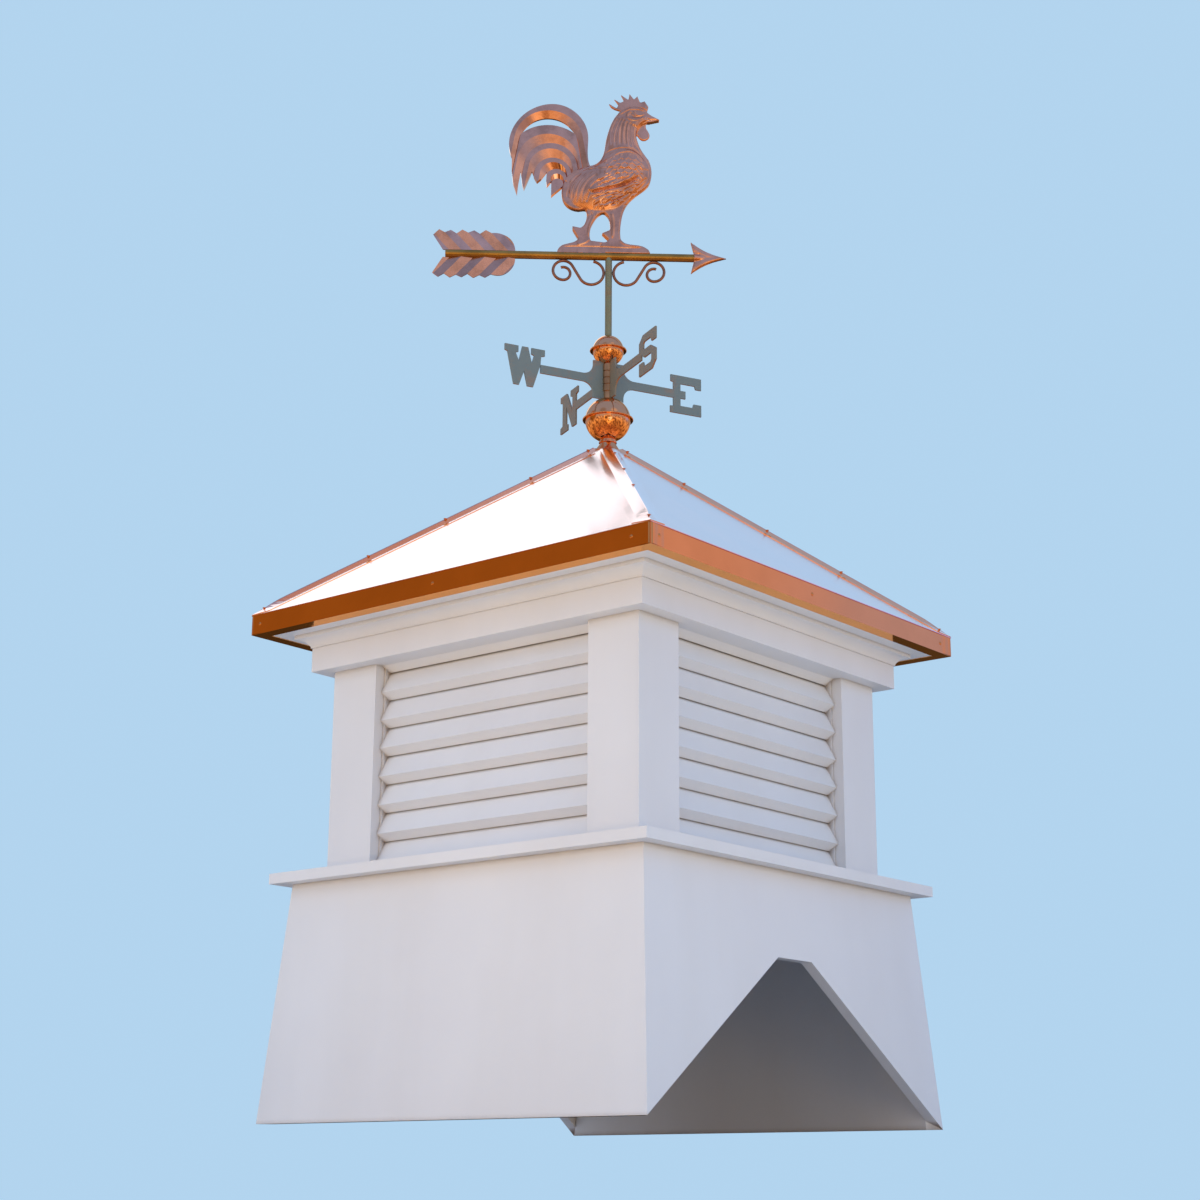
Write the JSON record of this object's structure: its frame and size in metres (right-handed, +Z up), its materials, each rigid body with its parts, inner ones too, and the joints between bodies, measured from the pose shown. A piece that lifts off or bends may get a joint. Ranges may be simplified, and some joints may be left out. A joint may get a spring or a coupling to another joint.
{
  "type": "barn cupola with weathervane",
  "caption": "Square louvred barn cupola in white vinyl with a pyramid copper roof, ball finial, compass arms and a turning rooster weathervane.",
  "frame": {"origin": "middle of the base's footprint, level with the lowest edges of the base panels", "axes": "+Z up, -Y towards the front panel, which has no saddle notch, and +X towards the notched panel on its right"},
  "size_m": [0.8268, 0.8268, 1.794],
  "materials": {
    "white_vinyl": "satin white cellular vinyl board",
    "roof_copper": "polished copper sheet",
    "weathered_copper": "weathered copper, brown to mauve",
    "brass": "dulled brass",
    "verdigris": "grey-green weathered copper",
    "deck_wood": "plain exterior plywood"
  },
  "bodies": {
    "cupola": {"base_front": "white_vinyl", "base_right": "white_vinyl", "base_back": "white_vinyl", "base_left": "white_vinyl", "sill_front": "white_vinyl", "sill_right": "white_vinyl", "sill_back": "white_vinyl", "sill_left": "white_vinyl", "corner_post_front_right": "white_vinyl", "corner_post_back_right": "white_vinyl", "corner_post_back_left": "white_vinyl", "corner_post_front_left": "white_vinyl", "louvre_front": "white_vinyl", "louvre_right": "white_vinyl", "louvre_back": "white_vinyl", "louvre_left": "white_vinyl", "frieze_front": "white_vinyl", "frieze_right": "white_vinyl", "frieze_back": "white_vinyl", "frieze_left": "white_vinyl", "crown_moulding": "white_vinyl", "soffit": "white_vinyl", "fascia": "roof_copper", "roof_deck_front": "deck_wood", "roof_deck_right": "deck_wood", "roof_deck_back": "deck_wood", "roof_deck_left": "deck_wood", "roof_sheet_front": "roof_copper", "roof_sheet_right": "roof_copper", "roof_sheet_back": "roof_copper", "roof_sheet_left": "roof_copper", "hip_caps": "roof_copper", "roof_collar": "roof_copper", "mast_block": "deck_wood", "mast": "verdigris", "lower_ball": "roof_copper", "upper_ball": "roof_copper", "compass_hub": "brass", "compass_arms_ns": "verdigris", "compass_arms_ew": "verdigris"},
    "vane": {"vane_tube": "verdigris", "arrow_tube": "brass", "arrow_head": "weathered_copper", "arrow_feathers": "weathered_copper", "scrolls": "weathered_copper", "rooster": "weathered_copper", "rooster_tail": "weathered_copper"}
  },
  "joints": [
    {"name": "vane_spin", "type": "hinge", "parent": "cupola", "child": "vane", "pos_m": [0, 0, 1.3282], "axis": [0, 0, 1], "continuous": true}
  ]
}
